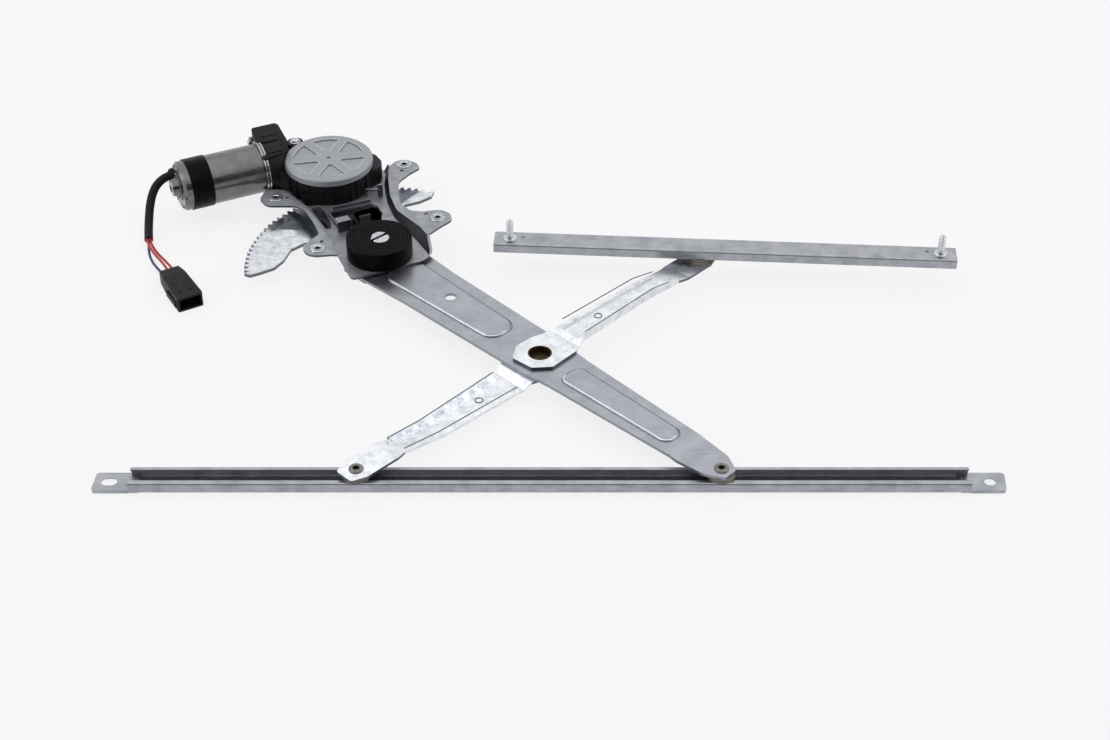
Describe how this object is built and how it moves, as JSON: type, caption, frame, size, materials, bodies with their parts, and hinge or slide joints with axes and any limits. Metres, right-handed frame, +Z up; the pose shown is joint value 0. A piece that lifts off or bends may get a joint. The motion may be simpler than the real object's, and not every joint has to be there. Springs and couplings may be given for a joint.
{
  "type": "window regulator",
  "caption": "Cross-arm power window regulator: sector-toothed arm and equaliser with nylon shoes in two rails, base plate with clock spring, worm gear motor and wired plug.",
  "frame": {"origin": "on the main pivot's axis, at the face of its foot, level with the glass rail's underside on which the part lies", "axes": "+X along the glass rail towards the end with the round hole, +Z up out of the lying part, +Y towards the motor"},
  "size_m": [0.6844, 0.447, 0.0608],
  "materials": {
    "arm_steel": "satin",
    "rail_steel": "satin",
    "bright_steel": "satin",
    "spring_steel": "satin",
    "can_steel": "satin",
    "black_steel": "satin",
    "cast_cover": "matte",
    "black_plastic": "matte",
    "black_rubber": "matte",
    "red_insulation": "satin",
    "pink_insulation": "satin",
    "blue_insulation": "satin",
    "nylon": "matte",
    "magnet": "matte",
    "iron_stack": "matte",
    "copper": "satin",
    "bush_bronze": "matte"
  },
  "bodies": {
    "base": {"base_plate": "arm_steel", "weld_nuts": "bright_steel", "pivot_bush": "bush_bronze", "clock_spring": "spring_steel", "gear_housing": "black_plastic", "gear_cover": "cast_cover", "brush_block": "black_plastic", "motor_can": "can_steel", "motor_end_cap": "can_steel", "can_band": "black_steel", "motor_magnets": "magnet", "motor_screws": "bright_steel", "housing_screws": "bright_steel", "lead_grommet": "black_rubber", "lead_sleeve": "black_rubber", "wire_red": "red_insulation", "wire_pink": "pink_insulation", "wire_blue": "blue_insulation", "connector_body": "black_plastic", "connector_core": "black_plastic"},
    "output_gear": {"drive_gear": "nylon", "output_shaft": "bright_steel", "output_pinion": "bright_steel"},
    "rotor": {"rotor_shaft": "bright_steel", "armature": "iron_stack", "commutator": "copper"},
    "main_arm": {"main_arm": "arm_steel", "sector_gear": "bright_steel", "sector_rivets": "bright_steel", "pivot_shaft": "bright_steel", "pivot_washer": "bright_steel", "pin_b": "bright_steel"},
    "shoe_b": {"shoe_b": "nylon"},
    "equalizer": {"equalizer_upper": "bright_steel", "equalizer_lower": "bright_steel", "centre_bush": "black_steel", "pin_d": "bright_steel", "pin_e": "bright_steel"},
    "shoe_d": {"shoe_d": "nylon"},
    "shoe_e": {"shoe_e": "nylon"},
    "lower_rail": {"lower_rail": "rail_steel"},
    "upper_rail": {"upper_rail": "rail_steel", "upper_rail_studs": "bright_steel"}
  },
  "joints": [
    {"name": "arm_swing", "type": "hinge", "parent": "base", "child": "main_arm", "pos_m": [0, 0, 0.02], "axis": [0, 0, 1], "range_deg": [-29.4, 23.6], "deforming": ["clock_spring"]},
    {"name": "equalizer_swing", "type": "hinge", "parent": "main_arm", "child": "equalizer", "pos_m": [0.13294, -0.13575, 0.015], "axis": [0, 0, 1], "range_deg": [-47.4, 59]},
    {"name": "shoe_b_turn", "type": "hinge", "parent": "main_arm", "child": "shoe_b", "pos_m": [0.26587, -0.2715, 0.008], "axis": [0, 0, 1], "range_deg": [-23.8, 29.6]},
    {"name": "shoe_e_turn", "type": "hinge", "parent": "equalizer", "child": "shoe_e", "pos_m": [0, -0.2715, 0.008], "axis": [0, 0, 1], "range_deg": [-29.6, 23.8]},
    {"name": "shoe_d_turn", "type": "hinge", "parent": "equalizer", "child": "shoe_d", "pos_m": [0.26587, 0, 0.02], "axis": [0, 0, 1], "range_deg": [-29.6, 23.8]},
    {"name": "rail_slide", "type": "slide", "parent": "shoe_e", "child": "lower_rail", "axis": [1, 0, 0], "range_m": [-0.05, 0.05]},
    {"name": "door_rail_slide", "type": "slide", "parent": "shoe_d", "child": "upper_rail", "axis": [0.9979, -0.0651, 0], "range_m": [-0.1122, 0.1395]},
    {"name": "output_turn", "type": "hinge", "parent": "base", "child": "output_gear", "pos_m": [-0.05156, 0.11057, 0.03], "axis": [0, 0, 1], "range_deg": [-265.32, 330.28]},
    {"name": "rotor_turn", "type": "hinge", "parent": "base", "child": "rotor", "pos_m": [-0.06398, 0.13722, 0.033], "axis": [0.9063, 0.4226, 0], "range_deg": [-13226, 16474]}
  ],
  "couplings": [
    {"joint": "equalizer_swing", "follows": "arm_swing", "ratio": -2},
    {"joint": "shoe_b_turn", "follows": "arm_swing", "ratio": -1},
    {"joint": "shoe_e_turn", "follows": "arm_swing", "ratio": 1},
    {"joint": "shoe_d_turn", "follows": "arm_swing", "ratio": 1},
    {"joint": "door_rail_slide", "follows": "arm_swing", "m_per_rad": -0.27},
    {"joint": "output_turn", "follows": "arm_swing", "ratio": -11.2},
    {"joint": "rotor_turn", "follows": "arm_swing", "ratio": -560}
  ]
}
